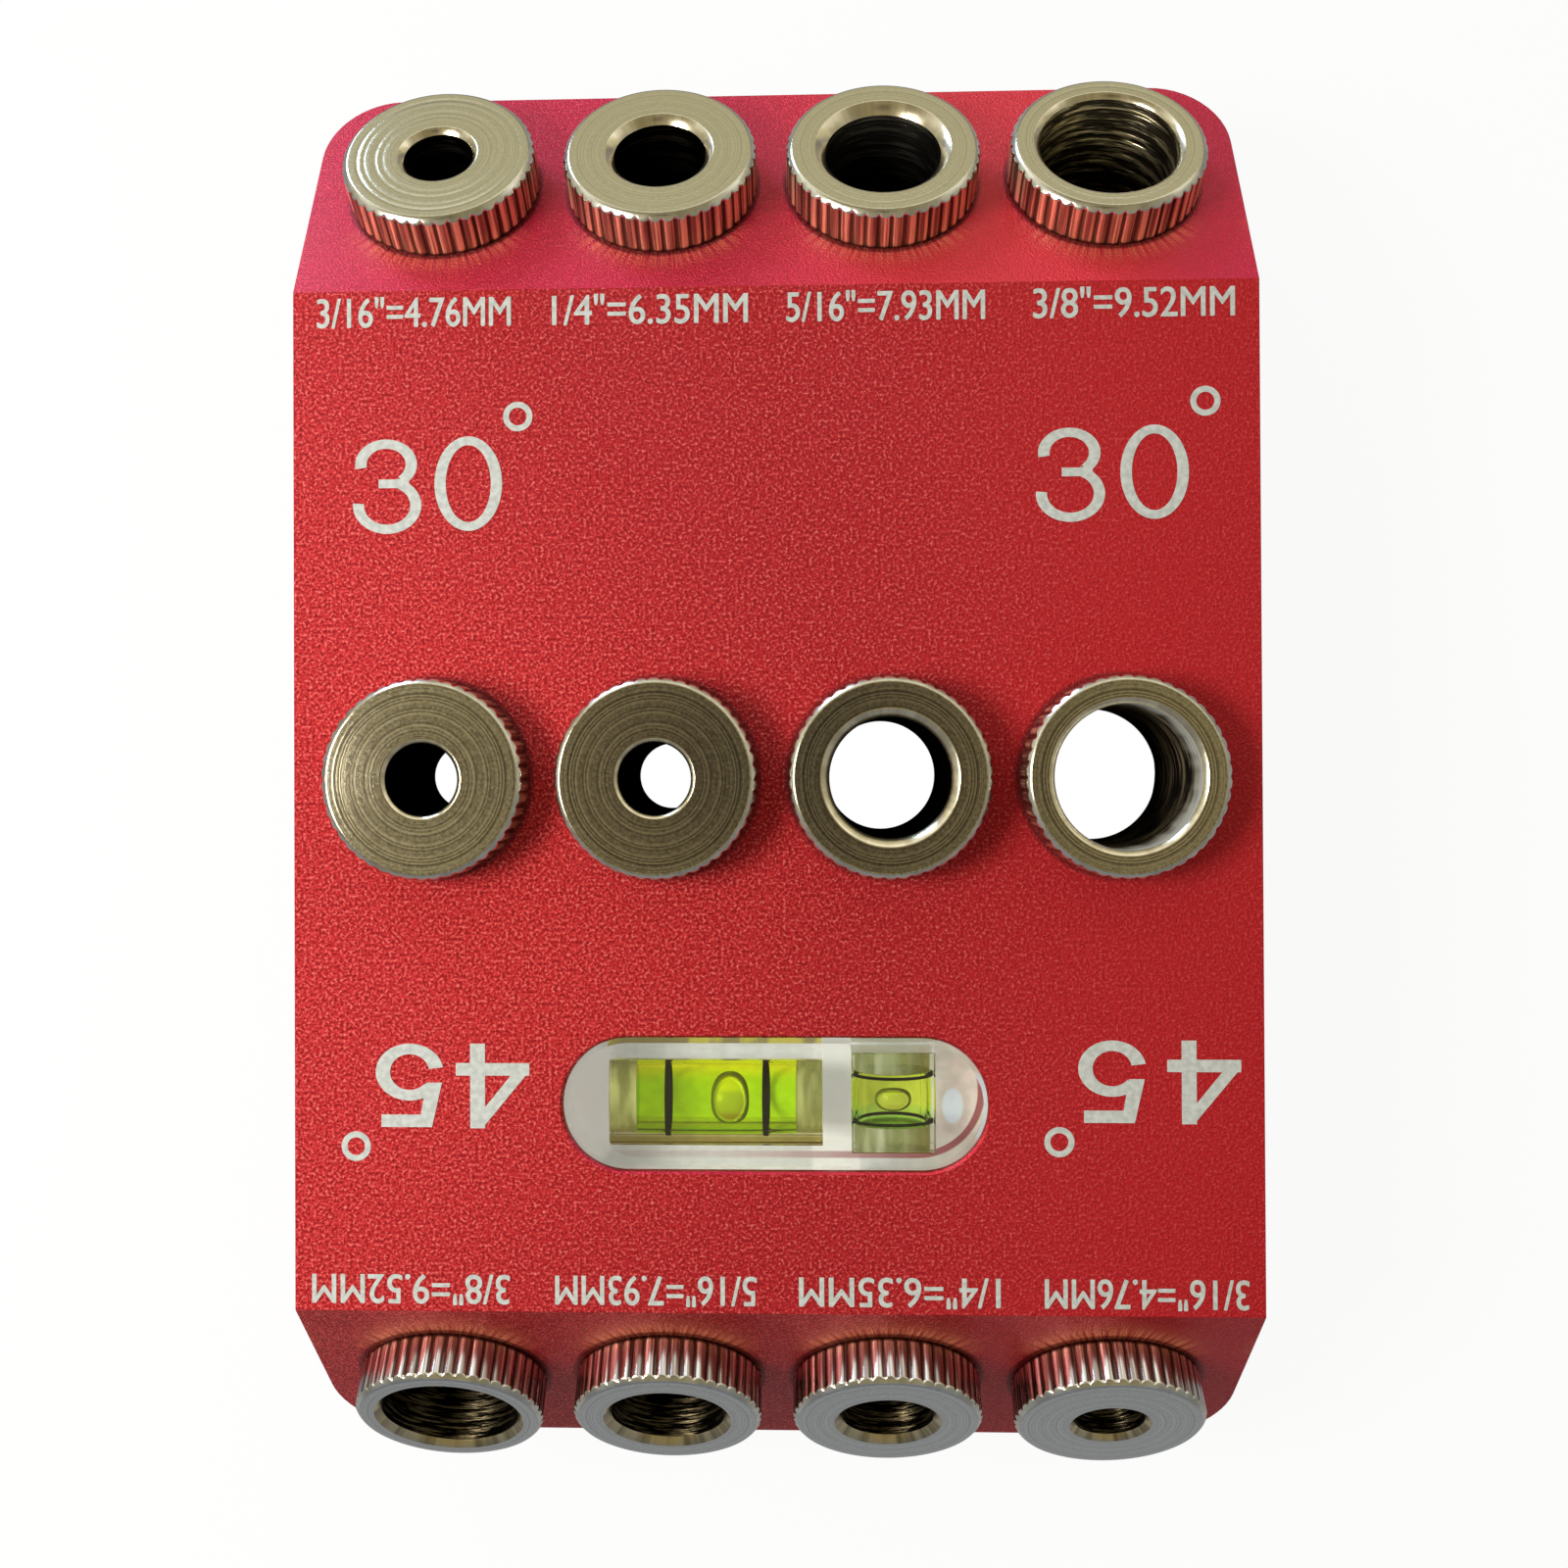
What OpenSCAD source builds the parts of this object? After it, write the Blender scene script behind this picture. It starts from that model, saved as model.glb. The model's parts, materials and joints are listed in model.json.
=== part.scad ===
// Block drill guide: one solid block with a shallow and a steep sloped end, twelve headed
// drill bushings in three rows, and a two-way spirit level in a pocket of the top face.
// The origin is the middle of the underside. +Y points to the shallow end and +Z is up.

/* [Block] */
// Length of the flat top face, between the sloped ends
top_face_l = 69; // [62:0.5:110]
// Thickness of the block, from the underside to the top face
block_t = 20; // [19:0.5:32]
// Clear width between the outer heads and the sides of the block
side_margin = 2.7; // [1.5:0.1:12]
// Radius of the four upright corners
corner_r = 5.2; // [1.5:0.1:12]
// Chamfer round the underside
base_chamfer = 0.5; // [0.2:0.1:1.2]
// How far the chip relief under an upright bushing stands out past its body
relief_step = 0.9; // [0.3:0.1:1]
// Length of the close-fitting hole below an upright bushing, above the relief
relief_land = 0.5; // [0.2:0.1:1]

/* [Sloped ends] */
// Angle of the shallow end face, measured from the top face
shallow_angle = 30; // [22:1:38]
// Reach of the shallow end face along the block
shallow_run = 16.9; // [15:0.1:22]
// Angle of the steep end face, measured from the top face
steep_angle = 45; // [40:1:48]
// Reach of the steep end face along the block
steep_run = 13.5; // [12.5:0.1:15]

/* [Rows] */
// Clear width between neighbouring heads in a row
head_gap = 2; // [1:0.1:2.8]
// Distance from the top face's edge down the shallow face to its row
shallow_row_d = 9.85; // [8:0.05:10.5]
// Distance from the top face's edge down the steep face to its row
steep_row_d = 9.7; // [8:0.05:10.5]
// Distance of the upright row from the middle of the top face, towards the shallow end
upright_row_y = 1.4; // [-4:0.1:12]

/* [Bushings] */
// Wall of a body round the widest bore
least_wall = 0.99; // [0.8:0.01:1.2]
// How far a head stands out past its body, all round
head_step = 0.95; // [0.7:0.05:1.2]
// Height of the head above the face that it stands on
head_h = 3.2; // [2:0.1:6]
// Chamfer on the head's upper rim
rim_chamfer = 0.45; // [0.2:0.05:0.8]
// Chamfer on the head's lower rim
foot_chamfer = 0.25; // [0.1:0.05:0.5]
// Length of the body below the head
body_l = 11.2; // [6:0.1:11.8]
// Lead-in chamfer on the body's lower end
lead_chamfer = 0.4; // [0.1:0.05:0.6]
// Gap all round between a body and its hole in the block
seat_gap = 0.03; // [0.01:0.01:0.1]

/* [Knurl] */
// Number of teeth round a head
knurl_teeth = 46; // [24:1:72]
// Depth of the knurl
knurl_depth = 0.24; // [0.1:0.02:0.5]

/* [Drill sizes] */
// Bore for the 3/16 inch drill
bore_3_16 = 4.76; // [4.6:0.01:5.2]
// Mouth chamfer of that bore
mouth_3_16 = 0.4; // [0.1:0.05:1.2]
// Bore for the 1/4 inch drill
bore_1_4 = 6.35; // [6.2:0.01:6.8]
// Mouth chamfer of that bore
mouth_1_4 = 0.55; // [0.1:0.05:1.2]
// Bore for the 5/16 inch drill
bore_5_16 = 7.93; // [7.7:0.01:8.4]
// Mouth chamfer of that bore
mouth_5_16 = 0.7; // [0.1:0.05:1]
// Bore for the 3/8 inch drill
bore_3_8 = 9.52; // [9.3:0.01:10]
// Mouth chamfer of that bore
mouth_3_8 = 0.2; // [0.1:0.05:0.6]

/* [Level pocket] */
// Length of the pocket left of the long vial
left_margin = 3.15; // [2.9:0.05:6]
// Length of the pocket right of the cross vial
right_margin = 3.55; // [3.3:0.05:6]
// Distance between the two vials
vial_spacing = 2; // [0.6:0.1:6]
// Chamfer round the pocket's mouth
pocket_chamfer = 0.15; // [0.05:0.05:0.4]
// Distance of the pocket from the middle of the top face, towards the steep end
pocket_y = 20.55; // [17:0.05:22]

/* [Level insert] */
// Gap all round between the insert and the pocket
insert_gap = 0.08; // [0.03:0.01:0.15]
// Depth of the insert's top below the top face
insert_recess = 0.1; // [0:0.05:0.3]
// Chamfer round the insert's top
insert_chamfer = 0.3; // [0.1:0.05:0.5]
// Thickness of the insert over the vials
insert_roof = 0.97; // [0.6:0.01:3]
// Thickness of the insert at the cross vial's ends
insert_wall = 1.04; // [0.8:0.02:2]
// Thickness of the backing plate under the insert
backing_t = 0.5; // [0.3:0.1:0.7]

/* [Long vial] */
// Length of the vial that lies along the pocket
long_vial_l = 14.4; // [13:0.1:20]
// Bore of that vial, at its ends
long_bore_d = 4.8; // [4.4:0.1:5.4]
// Wall of that vial beside its ring grooves
long_vial_wall = 0.27; // [0.1:0.01:0.4]
// Length of its two plugs
long_plug_l = 1.8; // [1:0.1:2.6]
// Width of a sight ring in it
long_ring_w = 0.35; // [0.2:0.05:0.6]
// Distance between its two sight rings
long_ring_pitch = 6.6; // [5:0.1:8]
// Length of its bubble, along the vial
long_bubble_l = 2.6; // [1.8:0.1:2.8]
// Width of its bubble
long_bubble_w = 3.6; // [3:0.1:3.7]
// Distance of its bubble from the vial's middle, to the right
long_bubble_x = 1; // [-3:0.1:3]

/* [Cross vial] */
// Length of the vial that lies across the pocket
cross_vial_l = 6.7; // [6.5:0.1:12]
// Bore of that vial, at its ends
cross_bore_d = 5; // [4.4:0.1:5.4]
// Wall of that vial beside its ring grooves
cross_vial_wall = 0.12; // [0.08:0.01:0.4]
// Length of its two plugs
cross_plug_l = 1.55; // [0.8:0.05:1.6]
// Width of a sight ring in it
cross_ring_w = 0.2; // [0.1:0.05:0.3]
// Distance between its two sight rings
cross_ring_pitch = 3.1; // [2.4:0.1:3.1]
// Length of its bubble, along the vial
cross_bubble_l = 1.5; // [1:0.1:1.6]
// Width of its bubble
cross_bubble_w = 2.4; // [1.8:0.1:2.6]
// Distance of its bubble from the vial's middle, towards the shallow end
cross_bubble_y = 0.1; // [-0.4:0.1:0.4]

/* [Both vials] */
// Wall over and under the ring grooves of the wider bore
vial_roof = 0.17; // [0.08:0.01:0.4]
// Swell of the barrel-shaped chamber at its middle
barrel_rise = 0.08; // [0.02:0.02:0.12]
// Depth of the groove round the chamber that holds a sight ring
ring_t = 0.1; // [0.04:0.02:0.12]
// Gap round a vial in the insert, and round what sits in a vial
vial_gap = 0.03; // [0.01:0.01:0.05]
// Gap between a bubble and the liquid round it
bubble_gap = 0.06; // [0.03:0.01:0.1]

/* [Hidden] */

// How far a cut runs past the surface that it opens
overrun = 1;
// Shares of a tooth's pitch that its tip and the valley beside it take
tip_share = 0.5;
valley_share = 0.14;
// Number of steps in the swelling wall of a chamber
barrel_steps = 8;
// The bushings of a row, from left to right
column_count = 4;
columns = [0:column_count - 1];

// All bushings are as wide as the widest bore needs, and the block as wide as their heads need
body_d = max(bore_3_16, bore_1_4, bore_5_16, bore_3_8) + 2 * least_wall;
head_d = body_d + 2 * head_step;
col_pitch = head_d + head_gap;
block_w = (column_count - 1) * col_pitch + head_d + 2 * side_margin;

// The middle of the top face and its two edges, along Y
face_y = (steep_run - shallow_run) / 2;
shallow_edge_y = face_y + top_face_l / 2;
steep_edge_y = face_y - top_face_l / 2;
// The ends of the block, and how high the sloped faces leave them
shallow_end_y = shallow_edge_y + shallow_run;
steep_end_y = steep_edge_y - steep_run;
shallow_end_z = block_t - shallow_run * tan(shallow_angle);
steep_end_z = block_t - steep_run * tan(steep_angle);

// A drill size is a bore and its mouth chamfer
size_3_16 = [bore_3_16, mouth_3_16];
size_1_4 = [bore_1_4, mouth_1_4];
size_5_16 = [bore_5_16, mouth_5_16];
size_3_8 = [bore_3_8, mouth_3_8];
// A row is its tilt, the Y and Z of its seats, and its drill sizes from left to right
shallow_row = [
    -shallow_angle,
    shallow_edge_y + shallow_row_d * cos(shallow_angle),
    block_t - shallow_row_d * sin(shallow_angle),
    [size_3_16, size_1_4, size_5_16, size_3_8]
];
upright_row = [0, face_y + upright_row_y, block_t, [size_3_16, size_3_16, size_5_16, size_3_8]];
steep_row = [
    steep_angle,
    steep_edge_y - steep_row_d * cos(steep_angle),
    block_t - steep_row_d * sin(steep_angle),
    [size_3_8, size_5_16, size_1_4, size_3_16]
];

// The vials, from their bores out
long_chamber_l = long_vial_l - 2 * long_plug_l;
cross_chamber_l = cross_vial_l - 2 * cross_plug_l;
groove_t = barrel_rise + ring_t;
long_vial_w = long_bore_d + 2 * (groove_t + long_vial_wall);
cross_vial_w = cross_bore_d + 2 * (groove_t + cross_vial_wall);
vial_h = max(long_bore_d, cross_bore_d) + 2 * (groove_t + vial_roof);

// The level's pocket, which holds the vials side by side
pocket_l = left_margin + long_vial_l + vial_spacing + cross_vial_w + right_margin;
pocket_w = cross_vial_l + 2 * (vial_gap + insert_wall + insert_gap);
pocket_depth = backing_t + vial_h + vial_gap + insert_roof + insert_recess;
long_vial_x = left_margin + (long_vial_l - pocket_l) / 2;
cross_vial_x = (pocket_l - cross_vial_w) / 2 - right_margin;

// What fills the pocket, from its floor up
level_y = face_y - pocket_y;
pocket_floor_z = block_t - pocket_depth;
insert_z = pocket_floor_z + backing_t;
insert_h = pocket_depth - backing_t - insert_recess;
insert_l = pocket_l - 2 * insert_gap;
insert_w = pocket_w - 2 * insert_gap;

// Block

// A slab of any length and width with upright round corners, its underside drawn in by inset
module round_slab(l, w, r, h, inset = 0) {
    for (x = [r - l / 2, l / 2 - r], y = [r - w / 2, w / 2 - r])
        translate([x, y, 0]) cylinder(r1 = r - inset, r2 = r, h = h, $fn = 96);
    for (side = [[l, w, 90], [w, l, 0]])
        rotate([90, 0, side[2]]) linear_extrude(side[0] - 2 * r, center = true)
            polygon([
                [inset - side[1] / 2, 0], [side[1] / 2 - inset, 0],
                [side[1] / 2, h], [-side[1] / 2, h]
            ]);
}

// A slab with half-round ends, its underside drawn in by inset
module obround(l, w, h, inset = 0) {
    for (x = [(w - l) / 2, (l - w) / 2])
        translate([x, 0, 0]) cylinder(r1 = w / 2 - inset, r2 = w / 2, h = h, $fn = 96);
    rotate([90, 0, 90]) linear_extrude(l - w, center = true)
        polygon([[inset - w / 2, 0], [w / 2 - inset, 0], [w / 2, h], [-w / 2, h]]);
}

// The block before its holes: a round-cornered slab with its two ends sloped off
module block_form() {
    block_l = shallow_end_y - steep_end_y;
    intersection() {
        union() {
            round_slab(block_w, block_l, corner_r, base_chamfer, base_chamfer);
            translate([0, 0, base_chamfer])
                round_slab(block_w, block_l, corner_r, block_t - base_chamfer);
        }
        rotate([90, 0, 90]) linear_extrude(block_w + 2 * overrun, center = true)
            polygon([
                [steep_end_y, 0], [shallow_end_y, 0], [shallow_end_y, shallow_end_z],
                [shallow_edge_y, block_t], [steep_edge_y, block_t], [steep_end_y, steep_end_z]
            ]);
    }
}

// Stands children on the seat of a row's bushing, with their Z out of the face
module seat(row, i) {
    middle = (column_count - 1) / 2;
    translate([(i - middle) * col_pitch, row[1], row[2]]) rotate([row[0], 0, 0]) children();
}

// A bushing's hole, right through the block
module bushing_hole(row, i) {
    reach = (block_t + body_d) / cos(row[0]);
    seat(row, i) translate([0, 0, -reach])
        cylinder(d = body_d + 2 * seat_gap, h = reach + overrun, $fn = 96);
}

// Chip relief: below an upright bushing the hole opens out to the underside
module chip_relief(i) {
    reach = block_t - body_l - relief_land;
    seat(upright_row, i) translate([0, 0, -block_t - overrun])
        cylinder(d = body_d + 2 * relief_step, h = reach + overrun, $fn = 96);
}

module guide_block() {
    color("#b3262e") difference() {
        block_form();
        for (row = [shallow_row, upright_row, steep_row], i = columns) bushing_hole(row, i);
        for (i = columns) chip_relief(i);
        translate([0, level_y, pocket_floor_z])
            obround(pocket_l, pocket_w, pocket_depth + overrun);
        translate([0, level_y, block_t - pocket_chamfer])
            obround(
                pocket_l + 2 * pocket_chamfer, pocket_w + 2 * pocket_chamfer,
                pocket_chamfer, pocket_chamfer
            );
    }
}

// Bushings

// Outline of the straight knurl: each tooth has a flat tip and a flat valley after it
function knurl_outline() = [
    for (tooth = [0:knurl_teeth - 1], corner = [
        [-tip_share / 2, head_d / 2],
        [tip_share / 2, head_d / 2],
        [(1 - valley_share) / 2, head_d / 2 - knurl_depth],
        [(1 + valley_share) / 2, head_d / 2 - knurl_depth]
    ])
        let (turn = (tooth + corner[0]) * 360 / knurl_teeth)
            [corner[1] * cos(turn), corner[1] * sin(turn)]
];

// The head stands on Z = 0, the face of the block
module knurled_head() {
    r = head_d / 2;
    intersection() {
        linear_extrude(head_h) polygon(knurl_outline());
        rotate_extrude($fn = 96) polygon([
            [0, 0], [r - foot_chamfer, 0], [r, foot_chamfer],
            [r, head_h - rim_chamfer], [r - rim_chamfer, head_h], [0, head_h]
        ]);
    }
}

// The body hangs below the head and reaches a little way up into it
module bushing_body() {
    r = body_d / 2;
    rotate_extrude($fn = 96) polygon([
        [0, head_h / 2], [r, head_h / 2], [r, lead_chamfer - body_l],
        [r - lead_chamfer, -body_l], [0, -body_l]
    ]);
}

module bushing(row, i) {
    bore_r = row[3][i][0] / 2;
    mouth = row[3][i][1];
    color("#9a957c") seat(row, i) difference() {
        union() {
            knurled_head();
            bushing_body();
        }
        translate([0, 0, -body_l - overrun])
            cylinder(r = bore_r, h = body_l + head_h + 2 * overrun, $fn = 96);
        translate([0, 0, head_h - mouth])
            cylinder(r1 = bore_r, r2 = bore_r + mouth + overrun, h = mouth + overrun, $fn = 96);
    }
}

// Level

// Lays children in a vial of the level: their Z runs along it and their X points down
module vial_frame(x, yaw) {
    translate([x, level_y, insert_z + vial_h / 2]) rotate([0, 90, yaw]) children();
}

module long_frame() {
    vial_frame(long_vial_x, 0) children();
}

module cross_frame() {
    vial_frame(cross_vial_x, 90) children();
}

// Room for a vial in the insert, open down to the underside
module vial_room(w, l) {
    room_w = w + 2 * vial_gap;
    room_l = l + 2 * vial_gap;
    translate([-vial_h / 2 - vial_gap, -room_w / 2, -room_l / 2])
        cube([vial_h + vial_gap + overrun, room_w, room_l]);
}

module level_insert() {
    body_h = insert_h - insert_chamfer;
    color([0.86, 0.88, 0.86, 0.35]) difference() {
        translate([0, level_y, insert_z]) {
            obround(insert_l, insert_w, body_h);
            translate([0, 0, insert_h]) mirror([0, 0, 1])
                obround(insert_l, insert_w, insert_chamfer, insert_chamfer);
        }
        long_frame() vial_room(long_vial_w, long_vial_l);
        cross_frame() vial_room(cross_vial_w, cross_vial_l);
    }
}

module level_backing() {
    color("#e9e9e4") translate([0, level_y, pocket_floor_z])
        obround(insert_l, insert_w, backing_t);
}

// A chamber's room, which swells to the middle like a barrel, less a gap all round
module chamber(bore_d, l, gap = 0) {
    end_r = bore_d / 2 - gap;
    rotate_extrude($fn = 96) polygon([
        [0, -l / 2],
        for (step = [0:barrel_steps])
            let (along = 2 * step / barrel_steps - 1)
                [end_r + barrel_rise * (1 - along * along), along * l / 2],
        [0, l / 2]
    ]);
}

// The two grooves of the sight rings, cut from the bore outwards
module ring_grooves(bore_d, ring_w, pitch) {
    for (z = [-pitch / 2, pitch / 2]) translate([0, 0, z])
        cylinder(r = bore_d / 2 + groove_t, h = ring_w, center = true, $fn = 96);
}

// A square clear block with a barrel-shaped chamber bored along it
module vial_body(w, l, bore_d, chamber_l, ring_w, ring_pitch) {
    color([0.80, 0.84, 0.70, 0.45]) difference() {
        cube([vial_h, w, l], center = true);
        cylinder(d = bore_d, h = l + 2 * overrun, center = true, $fn = 96);
        chamber(bore_d, chamber_l);
        ring_grooves(bore_d, ring_w, ring_pitch);
    }
}

module plugs(l, bore_d, chamber_l) {
    plug_l = (l - chamber_l) / 2;
    color([0.78, 0.80, 0.66, 0.55])
        for (z = [-l / 2, chamber_l / 2]) translate([0, 0, z])
            cylinder(d = bore_d - 2 * vial_gap, h = plug_l, $fn = 96);
}

module rings(bore_d, ring_w, pitch) {
    color("#101410") difference() {
        ring_grooves(bore_d, ring_w, pitch);
        cylinder(
            r = bore_d / 2 + barrel_rise, h = pitch + ring_w + 2 * overrun, center = true, $fn = 96
        );
    }
}

// A bubble lies across its vial, under the top of the chamber
module bubble_form(bore_d, l, w, shift, gap = 0) {
    r = l / 2;
    side = w / 2 - r;
    reach = bore_d / 2 - 2 * bubble_gap - r;
    translate([-sqrt(reach * reach - side * side), 0, shift]) {
        for (y = [-side, side]) translate([0, y, 0]) sphere(r = r + gap, $fn = 64);
        rotate([90, 0, 0]) cylinder(r = r + gap, h = 2 * side, center = true, $fn = 64);
    }
}

module long_bubble_form(gap = 0) {
    bubble_form(long_bore_d, long_bubble_l, long_bubble_w, long_bubble_x, gap);
}

module cross_bubble_form(gap = 0) {
    bubble_form(cross_bore_d, cross_bubble_l, cross_bubble_w, cross_bubble_y, gap);
}

module long_vial_body() {
    long_frame() vial_body(
        long_vial_w, long_vial_l, long_bore_d, long_chamber_l, long_ring_w, long_ring_pitch
    );
}

module long_vial_plugs() {
    long_frame() plugs(long_vial_l, long_bore_d, long_chamber_l);
}

module long_vial_rings() {
    long_frame() rings(long_bore_d, long_ring_w, long_ring_pitch);
}

module long_vial_liquid() {
    color([0.62, 0.80, 0.10, 0.7]) long_frame() difference() {
        chamber(long_bore_d, long_chamber_l, vial_gap);
        long_bubble_form(bubble_gap);
    }
}

module long_vial_bubble() {
    color([0.85, 0.95, 0.45, 0.4]) long_frame() long_bubble_form();
}

module cross_vial_body() {
    cross_frame() vial_body(
        cross_vial_w, cross_vial_l, cross_bore_d, cross_chamber_l, cross_ring_w, cross_ring_pitch
    );
}

module cross_vial_plugs() {
    cross_frame() plugs(cross_vial_l, cross_bore_d, cross_chamber_l);
}

module cross_vial_rings() {
    cross_frame() rings(cross_bore_d, cross_ring_w, cross_ring_pitch);
}

module cross_vial_liquid() {
    color([0.50, 0.74, 0.14, 0.7]) cross_frame() difference() {
        chamber(cross_bore_d, cross_chamber_l, vial_gap);
        cross_bubble_form(bubble_gap);
    }
}

module cross_vial_bubble() {
    color([0.80, 0.92, 0.50, 0.4]) cross_frame() cross_bubble_form();
}

guide_block();
for (i = columns) {
    bushing(shallow_row, i);
    bushing(upright_row, i);
    bushing(steep_row, i);
}
level_insert();
level_backing();
long_vial_body();
long_vial_plugs();
long_vial_rings();
long_vial_liquid();
long_vial_bubble();
cross_vial_body();
cross_vial_plugs();
cross_vial_rings();
cross_vial_liquid();
cross_vial_bubble();
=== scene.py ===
"""Looks of a drill guide: red anodised block, knurled steel bushings and a two-way spirit level."""
import json
import math
import random

import bmesh
import bpy
from mathutils import Matrix, Vector


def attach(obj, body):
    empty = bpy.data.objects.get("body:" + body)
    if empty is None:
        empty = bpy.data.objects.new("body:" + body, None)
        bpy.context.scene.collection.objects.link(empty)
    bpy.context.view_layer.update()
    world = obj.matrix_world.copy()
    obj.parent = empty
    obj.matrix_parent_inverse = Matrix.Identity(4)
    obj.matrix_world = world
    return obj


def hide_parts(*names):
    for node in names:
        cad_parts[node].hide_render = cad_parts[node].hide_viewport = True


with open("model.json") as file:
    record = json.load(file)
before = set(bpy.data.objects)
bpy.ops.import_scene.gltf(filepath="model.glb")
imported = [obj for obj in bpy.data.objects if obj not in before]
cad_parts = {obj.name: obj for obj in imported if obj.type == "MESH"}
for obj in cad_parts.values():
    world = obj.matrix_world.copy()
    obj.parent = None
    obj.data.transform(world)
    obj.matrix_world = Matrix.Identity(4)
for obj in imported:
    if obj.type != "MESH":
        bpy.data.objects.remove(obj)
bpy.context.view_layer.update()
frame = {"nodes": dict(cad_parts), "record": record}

MM = 0.001

# Block and bushings, in millimetres and in the frame's coordinates
BLOCK_TOP = 20.0
HEAD_R, HEAD_H, FOOT = 6.7, 3.2, 0.2
BODY_R, BODY_L, LEAD = 5.75, 11.2, 0.4
HEAD_PITCH, TOP_ROW_Y = 15.4, -0.3
SEAT_Z_30, SEAT_Z_45 = 15.075, 13.1411
LOW_TRIM = 0.1  # taken off the radius of the 45 degree heads
NIP = 0.03  # how far the points beside a corner lie from it
TEETH, TOOTH_STEPS, TOOTH_DEPTH = 46, 12, 0.18
LAND, FLANK = 0.26, 0.2  # half a tooth's top and its side, as shares of the tooth
CROWN = 0.04  # how far a tooth's top falls towards its corners
FACE_STEP = 0.07  # about how far apart the rings of points on a face lie
FACE, SIDE, WALL, LIP, EDGE = range(5)  # a bushing's materials in order

# Level
LEVEL_Y, VIAL_Z, VIAL_H = -22.25, 16.05, 5.7
LONG_LEFT, LONG_RIGHT, CROSS_LEFT, CROSS_RIGHT = -11.2, 3.2, 5.2, 10.8  # sides of the vials
POCKET_END_X, REFLECTION_R = 9.85, 4.12  # middle of the pocket's right end, and the painted reflection of the red wall round it
LONG_BORE, CROSS_BORE, SWELL = 4.8, 5.0, 0.075
CASE_EDGE = 0.12
ACRYLIC, LIQUID_IN_ACRYLIC, AIR_IN_LIQUID = 1.49, 0.893, 0.752  # indices of refraction

# Marks: thin layers that start just above the top face
MARK_UP, MARK_DOWN, LAYER = BLOCK_TOP + 0.02, BLOCK_TOP - 0.02, 0.004
BOLD, NUDGE = 0.035, 0.02  # how far the small letters' copies lie beside each other


class Reading:
    """A shader socket that can stand in a sum."""

    def __init__(self, finish, socket):
        self.finish, self.socket = finish, socket

    def math(self, operation, *others):
        values = dict(enumerate((self, *others)))
        return self.finish.node("ShaderNodeMath", {"operation": operation}, values)

    def __add__(self, other):
        return self.math("ADD", other)

    def __sub__(self, other):
        return self.math("SUBTRACT", other)

    def __rsub__(self, other):
        return self.finish.node("ShaderNodeMath", {"operation": "SUBTRACT"}, {0: other, 1: self})

    def __mul__(self, other):
        return self.math("MULTIPLY", other)

    def __truediv__(self, other):
        return self.math("DIVIDE", other)

    __radd__, __rmul__ = __add__, __mul__


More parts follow.
